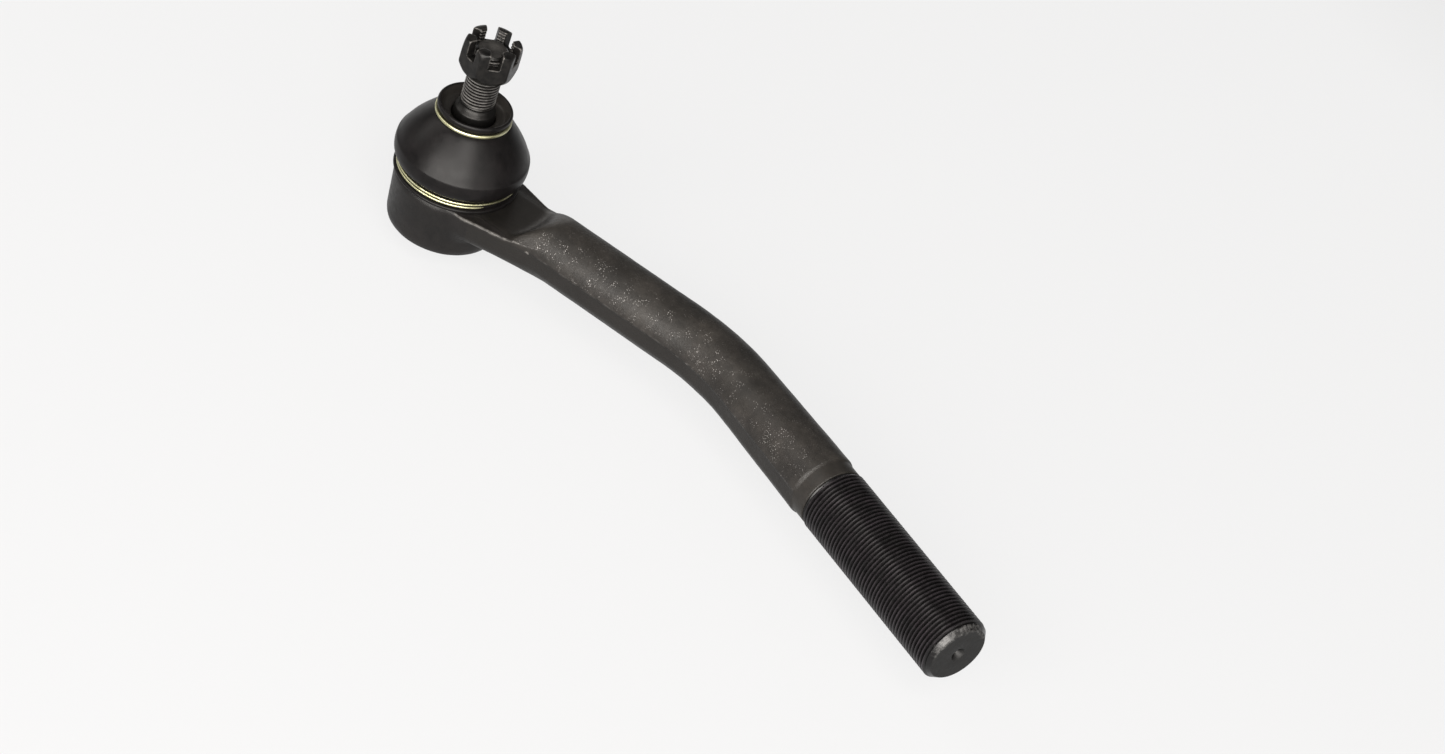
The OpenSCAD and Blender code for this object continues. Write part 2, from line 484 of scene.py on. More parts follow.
def boot_cut_field(r, z):
    """What the lathe takes away around the boot: a flat floor with a sloping wall."""
    floor = SEAT_Z - z
    wall = (r - CUT_R) * math.sin(CUT_SLOPE) - (z - SEAT_Z) * math.cos(CUT_SLOPE)
    return smooth_max(floor, wall, 2.0)


def housing_field(r, z):
    """The round housing up to the boot's seat, a little tapered, with rounded edges."""
    outline = [(0, HOUSING_BOTTOM), (18.2, HOUSING_BOTTOM), (20.2, -19.7), (21.2, -17.8), (HOUSING_R, 0.6),
               (21.4, SEAT_Z), (0, SEAT_Z)]
    return convex(r, z, outline, 0.6)


def neck_field(r, z):
    """The neck inside the boot, with the bead that holds the boot's base."""
    bead = disc(r, z, NECK_R + 0.7, 8.0, 9.2)
    return np.minimum(disc(r, z, NECK_R, 0, NECK_TOP), bead)


def socket_field(r, z):
    """Everything bored out of the housing."""
    bore = disc(r, z, SOCKET_R, COVER_TOP - 0.5, MOUTH_Z)
    mouth = disc(r, z, MOUTH_R + np.maximum(z - NECK_TOP + 0.8, 0), MOUTH_Z - 0.5, NECK_TOP + 3)
    cover = disc(r, z, COVER_R, COVER_BOTTOM, COVER_TOP)
    lip = LIP_R + np.maximum(HOUSING_BOTTOM + 0.7 - z, 0)
    opening = disc(r, z, lip, HOUSING_BOTTOM - 3, COVER_BOTTOM + 0.5)
    return np.minimum(np.minimum(bore, mouth), np.minimum(cover, opening))


def collar_field(s, side, z):
    """The turned collar, let into the bar's end and reaching to the thread's first turn."""
    ends = np.maximum(BAR_END - COLLAR_LET_IN - s, s - BAR_END - COLLAR_LENGTH + 0.2)
    return np.maximum(np.hypot(side, z) - COLLAR_R, ends)


def forging_field(x, y, z):
    """Housing, neck, web, bar and collar in one, less the socket. The boot's cut ends in a soft scoop."""
    r = np.hypot(x, y)
    s, side = along_bar(x, y)
    bar = np.maximum(bar_field(s, side, z), -x)
    arm = smooth_min(bar, web_field(x, y, z), 3.0)
    pocket = -boot_cut_field(r, z)
    arm = smooth_max(arm, pocket, 2.2 + 1.8 * np.clip((z - 5) / 5, 0, 1))
    body = smooth_min(housing_field(r, z), arm, 2.5)
    body = np.maximum(body, pocket)
    body = np.minimum(body, collar_field(s, side, z))
    body = np.minimum(body, neck_field(r, z))
    return smooth_max(body, -socket_field(r, z), 0.25)


def machined(points):
    """1 on the faces that were turned or milled after forging, 0 on the forged skin."""
    x, y, z = points.T
    r = np.hypot(x, y)
    s, _ = along_bar(x, y)
    floor = (z > SEAT_Z - 0.25) & (r < CUT_R + 2.5)
    collar = s > BAR_END - 0.6
    underside = (r < LIP_R + 1.5) & (z < 0)
    return (floor | collar | underside).astype(float)


# the forging's upper front side, which faces the key light: the bar's bright specks gather there as painted
# glints
GLINT_SIDE_ANGLE = math.radians(38)


def make_forging():
    """The forged and turned body, its skin uneven where it was not turned."""
    step = 0.5
    piece = net_mesh("forging", forging_field, FORGING_LOW, FORGING_HIGH, step)
    points = positions(piece)
    normals = vertex_normals(piece)
    skin = 1 - machined(points)
    # always inwards, so that nothing grows past the frame
    lumps = np.array([noise.noise(Vector(p) / 9.0) + 0.5 * noise.noise(Vector(p) / 3.5) for p in points])
    depth = skin * (0.06 + 0.07 * lumps)
    moved = points - normals * depth[:, None]
    piece.data.vertices.foreach_set("co", (moved * MM).ravel())
    piece.data.update()
    store(piece, "machined", 1 - skin)
    # painted shade: the bar's faces that look downwards, darkened in the material
    store(piece, "down_facing_shade", 0.8 * np.clip((0.04 - normals[:, 2]) / 0.1, 0, 1) * (points[:, 0] > 20))
    # painted highlight: a mask of the side that faces the key light, where the bright specks gather
    glint_side_direction = (0, -math.cos(GLINT_SIDE_ANGLE), math.sin(GLINT_SIDE_ANGLE))
    store(piece, "glint_side", np.clip((normals @ glint_side_direction - 0.8) / 0.15, 0, 1))
    store_edges(piece, 1.2)
    return piece


# ---------- threaded shank ----------


def to_second_leg():
    """Takes a shape built along +Z to the second leg, pointing along it."""
    bend = Matrix.Translation(Vector((FIRST_LEG, -BEND_R, 0)) * MM) @ Matrix.Rotation(-BEND_ANGLE, 4, "Z")
    return bend @ Matrix.Translation(Vector((0, BEND_R, 0)) * MM) @ Matrix.Rotation(math.pi / 2, 4, "Y")


def store_crest(piece, crest, root, where):
    """Stores 'crest' per vertex: 0 at the thread's root and 1 at its crest, and 0 outside where."""
    x, y, _ = positions(piece).T
    store(piece, "crest", np.clip((np.hypot(x, y) - root) / (crest - root), 0, 1) * where)


def make_shank():
    """The threaded shank with its chamfer and lathe centre, built along +Z and laid on the bar's end."""
    columns = 144
    start = SECOND_LEG + COLLAR_LENGTH
    root = SHANK_R - THREAD_DEPTH_PER_PITCH * SHANK_PITCH
    face_r = SHANK_R - 2
    foot = [(0, start - 1.5), (root - 0.2, start - 1.5), (root - 0.2, start - 0.3), (root + 0.1, start - 0.3)]
    centre = [(2.9, 0.0), (2.6, -0.2), (1.2, -3.0), (1.1, -3.3), (1.1, -5.6), (0.6, -5.9), (0, -6.0)]
    end = [(face_r - 0.2, SHANK_END), (6.0, SHANK_END)] + [(r, SHANK_END + z) for r, z in centre]
    rows = [ring_row(z, r, columns) for r, z in foot]
    rows += thread_rows(start - 0.3, SHANK_END - 0.25, SHANK_PITCH, SHANK_R, root, root + 0.1,
                        face_r + 0.1, 2.2, columns)
    rows += [ring_row(z, r, columns) for r, z in end]
    piece = turned("shank_thread", rows, columns, 36)
    x, y, z = positions(piece).T
    store_crest(piece, SHANK_R, root, z < SHANK_END - 0.1)
    store(piece, "face", z > SHANK_END - 0.3)
    # partly rubbed metal, partly painted highlight: the rim at the shank's end is lightened on its upper
    # side, which faces the lights
    edge = np.clip((z - SHANK_END + 4.5) / 3, 0, 1) * (np.hypot(x, y) > SHANK_R - 2.4)
    lit_upper_side = np.clip(0.6 - x / SHANK_R, 0, 1)
    store(piece, "rubbed_and_lit", edge * lit_upper_side)
    piece.data.transform(to_second_leg())
    return piece


# ---------- ball stud ----------


def stud_outline():
    """The stud up to its thread: ball with a flat foot, waist, shoulder, taper and thread relief."""
    flat_angle = math.degrees(math.asin(BALL_FLAT_Z / BALL_R))
    neck_angle = math.degrees(math.acos(STUD_NECK_R / BALL_R))
    ball = [(0, BALL_FLAT_Z), (4, BALL_FLAT_Z)] + arc(BALL_R, flat_angle, neck_angle - 1, 40)
    waist = [(STUD_NECK_R + 0.02, 11.4), (STUD_NECK_R, 12.0), (STUD_NECK_R, 14.3), (7.8, 14.9), (8.6, 16.1),
             (TAPER_BIG_R, 16.5), (TAPER_BIG_R, 17.1)]
    taper = [(TAPER_BIG_R + (TAPER_SMALL_R - TAPER_BIG_R) * t, TAPER_START + TAPER_LENGTH * t)
             for t in np.linspace(0, 1, 12)]
    relief = [(7.55, 33.1), (7.35, 33.35), (6.5, 34.1), (6.05, 34.8), (RELIEF_R, 35.2)]
    return ball + waist + taper + relief


def cotter_drill():
    """A cylinder that crosses the stud level, in line with two slots of the nut."""
    bpy.ops.mesh.primitive_cylinder_add(vertices=48, radius=COTTER_R * MM, depth=30 * MM)
    drill = bpy.context.object
    lift = Matrix.Translation((0, 0, (STUD_TOP - COTTER_BELOW_TOP) * MM))
    drill.matrix_world = lift @ Matrix.Rotation(SLOT_ANGLE, 4, "Z") @ Matrix.Rotation(math.pi / 2, 4, "Y")
    return drill


def make_stud():
    """The ball stud with its thread, its dished top and its cotter hole."""
    columns = 112
    root = STUD_THREAD_R - THREAD_DEPTH_PER_PITCH * STUD_PITCH
    top = [(5.1, 0.0), (3.2, 0.0), (2.7, -0.15), (1.9, -0.6), (0.9, -1.05), (0, -1.15)]
    rows = [ring_row(z, r, columns) for r, z in stud_outline()]
    rows += thread_rows(STUD_THREAD_START, STUD_TOP - 0.1, STUD_PITCH, STUD_THREAD_R, root, RELIEF_R,
                        5.25, 1.1, columns)
    rows += [ring_row(STUD_TOP + z, r, columns) for r, z in top]
    piece = turned("stud", rows, columns, 55)
    cut(piece, cotter_drill())
    shade(piece, 50)
    x, y, z = positions(piece).T
    store_crest(piece, STUD_THREAD_R, root, z > STUD_THREAD_START + 0.2)
    store(piece, "face", (z > STUD_TOP - 1.3) & (np.hypot(x, y) < 5.2))
    return piece


# ---------- castle nut ----------


def nut_field(x, y, z):
    """A hexagon with a chamfered foot and crown, a threaded bore and six slots."""
    r = np.hypot(x, y)
    corner_r = NUT_FLATS / math.sqrt(3) + 0.2
    crown = [(0, NUT_BOTTOM), (9.2, NUT_BOTTOM), (corner_r, NUT_BOTTOM + 3), (corner_r, NUT_TOP - 5.0),
             (10.5, NUT_TOP - 1.3), (9.9, NUT_TOP - 0.4), (9.0, NUT_TOP), (0, NUT_TOP)]
    flats = hexagon(x, y, NUT_FLATS, SLOT_ANGLE + math.radians(60), 0.5)
    body = smooth_max(flats, convex(r, z, crown, 0.4), 0.4)
    helix = np.cos(TURN * z / STUD_PITCH - np.arctan2(y, x))
    bore = NUT_BORE_R + 0.22 * (1 + helix) + np.maximum(0, NUT_BOTTOM + 0.9 - z)
    body = smooth_max(body, (bore - r) * 0.8, 0.15)
    slots = math.inf
    for k in range(3):
        angle = SLOT_ANGLE + math.radians(60 * k)
        across = np.abs(y * math.cos(angle) - x * math.sin(angle)) - SLOT_WIDTH / 2
        slots = np.minimum(slots, smooth_max(across, NUT_TOP - SLOT_DEPTH - z, 0.6))
    return smooth_max(body, -slots, 0.45)


def make_nut():
    """The castle nut, in its place on the stud."""
    reach = NUT_FLATS / math.sqrt(3) + 0.6
    low = (-reach, -reach, NUT_BOTTOM - 0.5)
    high = (reach, reach, NUT_TOP + 0.5)
    piece = net_mesh("nut", nut_field, low, high, 0.2)
    store_edges(piece, 0.45)
    return piece


# ---------- boot and its rings ----------

# The boot's section as (r, z): up its outside from the base to the flared mouth, and down its inside.
BOOT_OUTER = [(19.7, 2.5), (22.9, 2.5), (23.4, 2.9), (23.3, 3.7), (22.6, 4.0), (21.6, 4.0), (21.5, 4.3),
              (21.5, 6.7), (21.6, 7.0), (22.0, 7.3), (23.5, 8.2), (24.5, 9.7), (24.85, 11.6), (24.85, 13.2),
              (24.7, 14.9), (24.3, 15.5), (23.85, 16.3), (22.7, 18.5), (20.9, 21.2), (18.6, 24.1),
              (16.2, 26.9), (14.6, 28.6), (13.6, 29.3), (13.0, 29.45), (12.9, 29.7), (12.9, 30.9),
              (13.0, 31.15), (13.5, 31.5), (13.8, 32.3), (13.95, 33.2), (13.6, 33.9), (13.1, 34.0)]
BOOT_INNER = [(12.7, 33.7), (12.3, 32.6), (11.8, 31.2), (11.0, 30.4), (8.7, 30.2), (7.95, 29.6), (8.7, 28.6),
              (11.2, 28.3), (13.6, 26.6), (17.0, 22.4), (20.3, 17.8), (22.2, 14.2), (22.7, 11.8),
              (22.1, 9.9), (20.6, 9.0), (20.4, 7.8), (19.7, 7.7)]
BOOT_SEAM = 20.0
MOUTH_BOTTOM = 29.0


def half_outline(outline, keep_upper):
    """The part of a closed outline above or below the seam."""
    kept = []
    for (ax, ay), (bx, by) in zip(outline, outline[1:] + outline[:1]):
        if (ay > BOOT_SEAM) == keep_upper:
            kept.append((ax, ay))
        if (ay > BOOT_SEAM) != (by > BOOT_SEAM):
            share = (BOOT_SEAM - ay) / (by - ay)
            kept.append((ax + share * (bx - ax), BOOT_SEAM))
    return kept


def make_boot():
    """The rubber boot, in two halves that meet at the seam."""
    outline = softened(BOOT_OUTER + BOOT_INNER)
    lower = lathe("boot_lower", half_outline(outline, False), 160)
    upper = lathe("boot_upper", half_outline(outline, True), 160)
    for half in (lower, upper):
        x, y, z = positions(half).T
        # painted light: the inside of the mouth, a shaded hollow, is marked to be made paler
        inside = np.clip((13 - np.hypot(x, y)) / 0.5, 0, 1)
        store(half, "mouth", np.clip((z - MOUTH_BOTTOM) / 1.5, 0, 1) * inside)
    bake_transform(lower)
    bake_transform(upper)
    return lower, upper


UPPER_RING_R = 13.6
UPPER_RING_Z = 30.3
UPPER_RING_START = math.radians(100)
LOWER_RING_R = 22.15
LOWER_RING_Z = 4.75
LOWER_RING_TURNS = 1.62
LOWER_RING_PITCH = 1.3
LOWER_RING_START = math.radians(-26) - TURN * LOWER_RING_TURNS


def lower_ring_rise(t):
    """The first part of the wire lies on top of the last part, and comes down between them."""
    share = min(max((1 - t) / (2 - LOWER_RING_TURNS), 0.0), 1.0)
    return LOWER_RING_PITCH * share * share * (3 - 2 * share)


def make_rings():
    """The wire rings that hold the boot: one turn round its neck, and a lapped ring round its base."""
    upper = wound_wire("ring_upper", UPPER_RING_R, lambda t: 0.0, 1.0, UPPER_RING_START,
                       1.15, 1.3, UPPER_RING_Z)
    lower = wound_wire("ring_lower", LOWER_RING_R, lower_ring_rise, LOWER_RING_TURNS, LOWER_RING_START,
                       0.88, 0.8, LOWER_RING_Z)
    return upper, lower


# ---------- underside ----------


def fitting_field(x, y, z):
    """The grease fitting: head, neck, hexagon and stem, bored through."""
    r = np.hypot(x, y)
    hex_top = COVER_BOTTOM - 0.02
    collar = [(0, hex_top - 3.2), (3.9, hex_top - 3.2), (4.7, hex_top - 2.7), (4.7, hex_top - 0.4),
              (4.2, hex_top), (0, hex_top)]
    nut = smooth_max(hexagon(x, y, FITTING_FLATS, 0.0), convex(r, z, collar), 0.25)
    head = [(0, FITTING_TIP), (1.8, FITTING_TIP), (3.1, -27.8), (3.2, -27.4), (3.2, -26.2), (2.2, -25),
            (0, -25)]
    neck = disc(r, z, 2.2, -25.2, hex_top - 3)
    stem = disc(r, z, 3.1, hex_top - 1, -15.5)
    body = smooth_min(smooth_min(convex(r, z, head, 0.3), neck, 0.4), nut, 0.4)
    body = np.minimum(body, stem)
    bore = np.minimum(disc(r, z, 1.15, -28.4, SPRING_TOP + 0.05), disc(r, z, 0.8, -31, -14))
    return smooth_max(body, -bore, 0.15)


def make_underside():
    """The grease fitting, the cover it sits in and the coil spring behind its check ball."""
    fitting = net_mesh("grease_fitting_body", fitting_field, (-5, -5, -29.6), (5, 5, -15), 0.16)
    store_edges(fitting, 0.6)
    dish = [(3.24, -19.2), (6.0, -19.2), (7.5, -18.6), (12.5, -18.6), (14.2, -19.2), (17.1, -19.2),
            (17.1, -16.8), (6.0, -16.8), (5.9, -15.2), (3.24, -15.2)]
    cover = lathe("cover_dish", softened(dish), 128)
    climb = (SPRING_TOP - SPRING_BOTTOM - 0.3) / SPRING_COILS
    spring = wound_wire("check_spring_coil", SPRING_R, lambda t: climb * t, SPRING_COILS, 0.0,
                        SPRING_WIRE, SPRING_WIRE, SPRING_BOTTOM + 0.15, 32)
    return fitting, cover, spring


# ---------- materials ----------


# Gloss seen straight on goes as ((n - 1) / (n + 1)) squared: the scale makes DENSE_IOR match an IOR of 1.5.
DENSE_IOR = 2.5
SHEEN_AT_DENSE_IOR = ((1.5 - 1) / (1.5 + 1) * (DENSE_IOR + 1) / (DENSE_IOR - 1)) ** 2


class Look:
    """A Principled material with short ways to add detail. Texture sizes are given in millimetres."""

    def __init__(self, name, **sockets):
        self.material = bpy.data.materials.new(name)
        self.material.use_nodes = True
        self.tree = self.material.node_tree
        self.shader = self.tree.nodes["Principled BSDF"]
        for socket, value in sockets.items():
            self.shader.inputs[socket].default_value = value
        self.place = self.tree.nodes.new("ShaderNodeTexCoord").outputs["Object"]

    def node(self, kind, **settings):
        """A new shader node of the given kind, with its settings."""
        made = self.tree.nodes.new("ShaderNode" + kind)
        for key, value in settings.items():
            setattr(made, key, value)
        return made

    def link(self, source, target):
        """Joins an output to an input."""
        self.tree.links.new(source, target)

    def noise(self, size, detail=3.0, rough=0.5):
        """Noise from 0 to 1 with lumps of about the given size."""
        made = self.node("TexNoise")
        self.link(self.place, made.inputs["Vector"])
        made.inputs["Scale"].default_value = 1 / (size * MM)
        made.inputs["Detail"].default_value = detail
        made.inputs["Roughness"].default_value = rough
        return made.outputs["Fac"]

    def cells(self, size):
        """Distance to the nearest of random points that lie about size apart: small near a point."""
        made = self.node("TexVoronoi")
        self.link(self.place, made.inputs["Vector"])
        made.inputs["Scale"].default_value = 1 / (size * MM)
        return made.outputs["Distance"]

    def distance(self):
        """Distance from the object's origin, in metres."""
        made = self.node("VectorMath", operation="LENGTH")
        self.link(self.place, made.inputs[0])
        return made.outputs["Value"]

    def sheen(self, level):
        """How glossy the surface is seen straight on, with little more gloss at its grazing edges."""
        self.shader.inputs["IOR"].default_value = DENSE_IOR
        self.shader.inputs["Specular IOR Level"].default_value = level * SHEEN_AT_DENSE_IOR

    def vertex(self, name):
        """A number stored per vertex."""
        return self.node("Attribute", attribute_name=name).outputs["Fac"]

    def spread(self, source, low, high, to_low=0.0, to_high=1.0):
        """Takes the range low to high to another range, and stops at its ends."""
        made = self.node("MapRange")
        self.link(source, made.inputs["Value"])
        limits = {"From Min": low, "From Max": high, "To Min": to_low, "To Max": to_high}
        for socket, value in limits.items():
            made.inputs[socket].default_value = value
        return made.outputs["Result"]

    def math(self, operation, a, b):
        """Arithmetic on two values, each a number or another output."""
        made = self.node("Math", operation=operation)
        for socket, value in zip(made.inputs, (a, b)):
            if isinstance(value, (int, float)):
                socket.default_value = value
            else:
                self.link(value, socket)
        return made.outputs["Value"]

    def times(self, a, b):
        """The product of two values."""
        return self.math("MULTIPLY", a, b)

    def mix(self, share, a, b):
        """A colour between a and b, each a colour or another output."""
        made = self.node("Mix", data_type="RGBA")
        self.link(share, made.inputs["Factor"])
        for socket, value in ((made.inputs["A"], a), (made.inputs["B"], b)):
            if isinstance(value, tuple):
                socket.default_value = (*value, 1)
            else:
                self.link(value, socket)
        return made.outputs["Result"]

    def colour(self, source):
        """Drives the base colour."""
        self.link(source, self.shader.inputs["Base Color"])

    def roughness(self, source):
        """Drives the roughness."""
        self.link(source, self.shader.inputs["Roughness"])

    def metallic(self, source):
        """Drives how metallic the surface is."""
        self.link(source, self.shader.inputs["Metallic"])

    def bump(self, source, depth, strength=1.0):
        """Adds relief of the given depth in millimetres, over any relief added before."""
        made = self.node("Bump")
        made.inputs["Distance"].default_value = depth * MM
        made.inputs["Strength"].default_value = strength
        self.link(source, made.inputs["Height"])
        before = self.shader.inputs["Normal"].links
        if before:
            self.link(before[0].from_socket, made.inputs["Normal"])
        self.link(made.outputs["Normal"], self.shader.inputs["Normal"])


def grey(level, warm=0.0, rose=0.0):
    """A grey given by its level on screen, from 0 to 255, with a little warmth or rose."""
    tones = (level * (1 + warm + rose), level, level * (1 - warm + rose))
    return tuple(((tone / 255 + 0.055) / 1.055) ** 2.4 for tone in tones)


def forging_look():
    """Black paint on the housing, scale on the bar with bright specks painted as glints mostly on its lit
    upper front side, the bar's down-facing faces painted darker as shade, and dull turned faces.
    """
    look = Look("forging_paint", Metallic=0.0)
    look.sheen(0.16)
    patches = look.spread(look.noise(14, 4), 0.35, 0.65)
    on_bar = look.spread(look.distance(), 26 * MM, 46 * MM)
    housing_paint = look.mix(patches, grey(7, 0.06, 0.06), grey(14, 0.06, 0.06))
    bar_scale = look.mix(patches, grey(22, 0.07), grey(33, 0.07))
    base = look.mix(on_bar, housing_paint, bar_scale)
    scale_marks = look.spread(look.noise(2.6, 5, 0.6), 0.3, 0.7)
    base = look.mix(look.times(scale_marks, 0.6), base, grey(15, 0.08))
    # painted glints, partly worn metal: bright metallic specks, dense on the side that faces the key light
    # and sparse elsewhere
    specks = look.spread(look.cells(0.65), 0.25, 0.13)
    clusters = look.times(look.spread(look.noise(4, 4), 0.48, 0.66), on_bar)
    where = look.spread(look.vertex("glint_side"), 0, 1, 0.12, 1)
    specks_and_glints = look.times(specks, look.times(clusters, where))
    base = look.mix(specks_and_glints, base, grey(140, 0.02))
    look.metallic(look.times(specks_and_glints, 0.5))
    worn = look.spread(look.times(look.vertex("edge"), look.noise(3, 3)), 0.14, 0.4)
    # painted shade: the bar's down-facing faces made darker
    base = look.mix(look.vertex("down_facing_shade"), base, grey(16, 0.08))
    base = look.mix(worn, base, grey(66, 0.03))
    turned_floor = look.mix(look.noise(2.5, 3), grey(8, 0.1), grey(15, 0.1))
    turned_collar = look.mix(look.noise(2.5, 3), grey(15, 0.08), grey(29, 0.08))
    turned_face = look.mix(on_bar, turned_floor, turned_collar)
    look.colour(look.mix(look.vertex("machined"), base, turned_face))
    satin = look.spread(look.noise(1.8, 4), 0.3, 0.7, 0.4, 0.5)
    look.roughness(look.math("SUBTRACT", satin, look.times(specks_and_glints, 0.12)))
    rough_skin = look.math("SUBTRACT", 1.0, look.vertex("machined"))
    look.bump(look.times(look.noise(0.9, 4, 0.65), rough_skin), 0.1, 0.9)
    look.bump(look.times(look.noise(2.4, 3), rough_skin), 0.12, 0.6)
    look.bump(look.noise(0.35, 2), 0.01, 0.5)
    return look.material


def thread_look(name, dark, crest_tone, face_tone, oil, metallic, specular, rose):
    """A thread with worn crests and a stained end face. Its end rim is lightened where that was stored, as
    rubbed metal and a painted highlight.
    """
    look = Look(name, Metallic=metallic)
    look.sheen(specular)
    crest = look.spread(look.vertex("crest"), 0.55, 1.0)
    wear = look.times(crest, look.spread(look.noise(5, 4), 0.3, 0.75))
    base = look.mix(wear, grey(dark, 0.04, rose), grey(crest_tone, 0.02, rose))
    stain = look.mix(look.noise(3, 4), grey(face_tone * 0.7, 0.03), grey(face_tone * 1.3, 0.03))
    base = look.mix(look.vertex("face"), base, stain)
    # rubbed metal and painted highlight on the end rim's upper side
    rubbed_and_lit = look.spread(look.times(look.vertex("rubbed_and_lit"), look.noise(1.6, 4, 0.6)), 0.42, 0.62)
    look.colour(look.mix(rubbed_and_lit, base, grey(52, 0.01)))
    satin = look.spread(look.noise(1.5, 4), 0.3, 0.7, oil, oil + 0.16)
    look.roughness(look.math("ADD", satin, look.times(look.vertex("face"), 0.35)))
    look.bump(look.noise(0.4, 3), 0.02, 0.6)
    return look.material


def nut_look():
    """Oil-blackened steel, worn grey along its edges."""
    look = Look("nut_black", Metallic=0.15)
    look.sheen(0.14)
    base = look.mix(look.spread(look.noise(2.2, 4), 0.35, 0.65), grey(6, 0.06), grey(16, 0.06))
    worn = look.spread(look.times(look.vertex("edge"), look.noise(1.5, 3)), 0.15, 0.5)
    look.colour(look.mix(worn, base, grey(74, 0.03)))
    look.roughness(look.spread(look.noise(1.0, 4), 0.3, 0.7, 0.3, 0.42))
    look.bump(look.noise(0.3, 3), 0.012, 0.6)
    return look.material


def rubber_look():
    """Smooth black rubber, dusty in patches, with painted light making the inside of its mouth paler."""
    look = Look("boot_rubber", Metallic=0.0)
    look.sheen(0.098)
    dust = look.spread(look.noise(6, 5, 0.6), 0.35, 0.75)
    skin = look.mix(dust, grey(6, 0.06, 0.08), grey(12, 0.06, 0.08))
    # painted light: paler rubber inside the mouth, lifting its shade
    look.colour(look.mix(look.vertex("mouth"), skin, grey(26, 0.06)))
    look.roughness(look.spread(look.noise(3, 4), 0.3, 0.7, 0.32, 0.42))
    look.bump(look.noise(0.25, 2), 0.008, 0.5)
    look.bump(look.noise(9, 2), 0.2, 0.25)
    return look.material


def zinc_look(name, low, high, rough):
    """Yellow or clear zinc plating, with the cloudiness of a passivated surface."""
    look = Look(name, Metallic=1.0)
    look.colour(look.mix(look.spread(look.noise(5, 3), 0.3, 0.7), low, high))
    look.roughness(look.spread(look.noise(6, 3), 0.3, 0.7, rough, rough + 0.06))
    look.bump(look.noise(6, 2), 0.01, 0.3)
    return look.material


def steel_look(name, low, high, rough):
    """Plain steel between two colours, with a fine grain."""
    look = Look(name, Metallic=0.9)
    look.colour(look.mix(look.noise(3, 4), low, high))
    look.roughness(look.spread(look.noise(1.2, 3), 0.3, 0.7, rough, rough + 0.15))
    look.bump(look.noise(0.3, 3), 0.015, 0.5)
    return look.material


def plastic_look():
    """Cream bearing plastic."""
    look = Look("bearing_plastic", Metallic=0.0)
    look.colour(look.mix(look.noise(5, 3), (0.62, 0.58, 0.47), (0.7, 0.66, 0.56)))
    look.roughness(look.spread(look.noise(1.5, 3), 0.3, 0.7, 0.4, 0.55))
    look.bump(look.noise(0.4, 2), 0.01, 0.5)
    return look.material


def dress(piece, material, body, node):
    piece.data.materials.clear()
    piece.data.materials.append(material)
    if body:
        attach(piece, body)
    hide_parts(node)


# ---------- the object ----------

dress(make_forging(), forging_look(), "housing", "forged_body")

shank_black = thread_look(
    "shank_black", dark=5, crest_tone=24, face_tone=5, oil=0.24, metallic=0.08, specular=0.26, rose=0.14)
dress(make_shank(), shank_black, "housing", "forged_body")

stud_steel = thread_look(
    "stud_steel", dark=20, crest_tone=134, face_tone=44, oil=0.32, metallic=0.75, specular=0.4, rose=0.0)
dress(make_stud(), stud_steel, "stud", "ball_stud")

dress(make_nut(), nut_look(), "nut", "castle_nut")

rubber = rubber_look()
for half in make_boot():
    dress(half, rubber, None, "dust_boot")

ring_zinc = zinc_look("ring_zinc", (0.34, 0.33, 0.18), (0.54, 0.53, 0.36), 0.34)
ring_upper, ring_lower = make_rings()
dress(ring_upper, ring_zinc, "boot_neck", "boot_upper_ring")
dress(ring_lower, ring_zinc, "housing", "boot_lower_ring")

fitting, cover, check_spring = make_underside()
fitting_zinc = zinc_look("fitting_zinc", (0.5, 0.47, 0.38), (0.66, 0.63, 0.52), 0.28)
cover_steel = steel_look("cover_steel", grey(58, 0.04), grey(84, 0.04), 0.4)
spring_steel = steel_look("spring_steel", grey(110, 0.02), grey(150, 0.02), 0.25)
dress(fitting, fitting_zinc, "housing", "grease_fitting")
dress(cover, cover_steel, "housing", "cover_plate")
dress(check_spring, spring_steel, "housing", "grease_check_spring")
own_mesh(check_spring)

seat_steel = steel_look("seat_steel", grey(95, 0.02), grey(135, 0.02), 0.3)
carried_over = {
    "upper_bearing": plastic_look(),
    "lower_bearing": seat_steel,
    "preload_spring": spring_steel,
    "grease_check_ball": seat_steel,
}
for node, material in carried_over.items():
    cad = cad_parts[node]
    cad.data.materials.clear()
    cad.data.materials.append(material)

# ---------- floor, light and camera, in metres ----------

FLOOR_SIZE = 30
FLOOR_GAP = 0.0005
FLOOR_GLOW_NEAR = 0.772
FLOOR_GLOW_FAR = 0.42
LIGHT_TARGET = Vector((0.08, -0.01, 0))
LAMP_COLOUR = (1.0, 0.965, 0.92)
WORLD_STRENGTH = 0.11

CAMERA_TARGET = Vector((0.128, -0.0062, 0))
CAMERA_DISTANCE = 1.2356
CAMERA_AZIMUTH = 21.98
CAMERA_ELEVATION = 38.24
CAMERA_ROLL = 20.58
CAMERA_LENS = 87.76
CAMERA_SENSOR = 36


def make_floor():
    """A pale floor just under the part, which glows a little less the further it is away."""
    bpy.ops.mesh.primitive_plane_add(size=FLOOR_SIZE, location=(0, 0, cad_bounds[0][2] - FLOOR_GAP))
    floor = bpy.context.object
    floor.name = "floor"
    look = Look("floor_pale", Metallic=0.0, Roughness=0.9)
    glow = look.spread(look.distance(), 0.5, 1.3, FLOOR_GLOW_NEAR, FLOOR_GLOW_FAR)
    look.link(glow, look.shader.inputs["Emission Strength"])
    look.colour(look.mix(look.noise(400, 2), (0.046, 0.046, 0.047), (0.051, 0.051, 0.052)))
    look.shader.inputs["Specular IOR Level"].default_value = 0.1
    look.shader.inputs["Emission Color"].default_value = (1, 1, 1, 1)
    floor.data.materials.append(look.material)


def towards(azimuth, elevation):
    """The direction of a place seen from the part. Azimuth 0 is in front, towards -Y, and 90 towards +X."""
    a, e = math.radians(azimuth), math.radians(elevation)
    return Vector((math.sin(a) * math.cos(e), -math.cos(a) * math.cos(e), math.sin(e)))


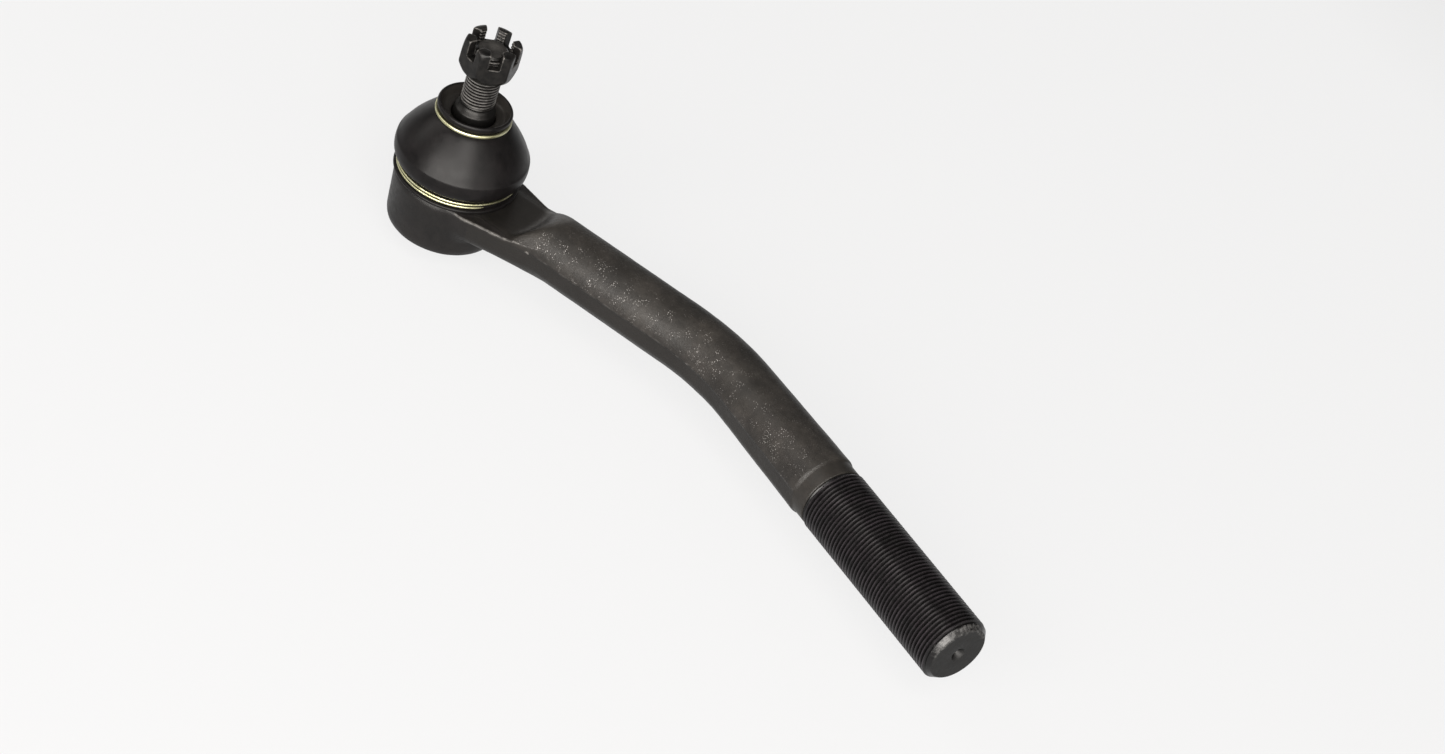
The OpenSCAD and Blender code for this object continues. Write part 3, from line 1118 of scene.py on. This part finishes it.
def add_to_scene(name, data):
    """A new object in the scene with the given data."""
    made = bpy.data.objects.new(name, data)
    bpy.context.scene.collection.objects.link(made)
    return made


def soft_light(name, azimuth, elevation, distance, width, height, power):
    """A rectangular soft light that faces the part."""
    data = bpy.data.lights.new(name, "AREA")
    data.shape = "RECTANGLE"
    data.size = width
    data.size_y = height
    data.energy = power
    data.color = LAMP_COLOUR
    lamp = add_to_scene(name, data)
    away = towards(azimuth, elevation)
    lamp.location = LIGHT_TARGET + away * distance
    lamp.rotation_euler = away.to_track_quat("Z", "Y").to_euler()


def make_lights():
    """A broad key in front, smaller lights round the part, and a faint even world."""
    soft_light("key", 14, 24, 1.8, width=2.4, height=1.2, power=158)
    soft_light("upper", 38, 52, 1.8, width=0.9, height=0.6, power=26)
    soft_light("left", -70, 40, 1.8, width=0.6, height=1.7, power=15)
    soft_light("fill", 73, 22, 1.8, width=1.4, height=1.1, power=17)
    soft_light("side", -132, 9, 1.2, width=1.0, height=0.4, power=2.5)
    soft_light("back", 176, 48, 2.0, width=2.2, height=1.2, power=2.5)
    world = bpy.data.worlds.new("studio")
    world.use_nodes = True
    background = world.node_tree.nodes["Background"]
    background.inputs["Color"].default_value = (1, 1, 1, 1)
    background.inputs["Strength"].default_value = WORLD_STRENGTH
    bpy.context.scene.world = world


def make_camera():
    """The camera, aimed at a point by the bar and rolled over its own axis."""
    away = towards(CAMERA_AZIMUTH, CAMERA_ELEVATION)
    data = bpy.data.cameras.new("camera")
    data.lens = CAMERA_LENS
    data.sensor_width = CAMERA_SENSOR
    data.clip_start = 0.01
    camera = add_to_scene("camera", data)
    roll = Matrix.Rotation(math.radians(CAMERA_ROLL), 4, "Z")
    turn = away.to_track_quat("Z", "Y").to_matrix().to_4x4() @ roll
    camera.matrix_world = Matrix.Translation(CAMERA_TARGET + away * CAMERA_DISTANCE) @ turn
    bpy.context.scene.camera = camera


make_floor()
make_lights()
make_camera()
bpy.context.scene.view_settings.view_transform = "Standard"
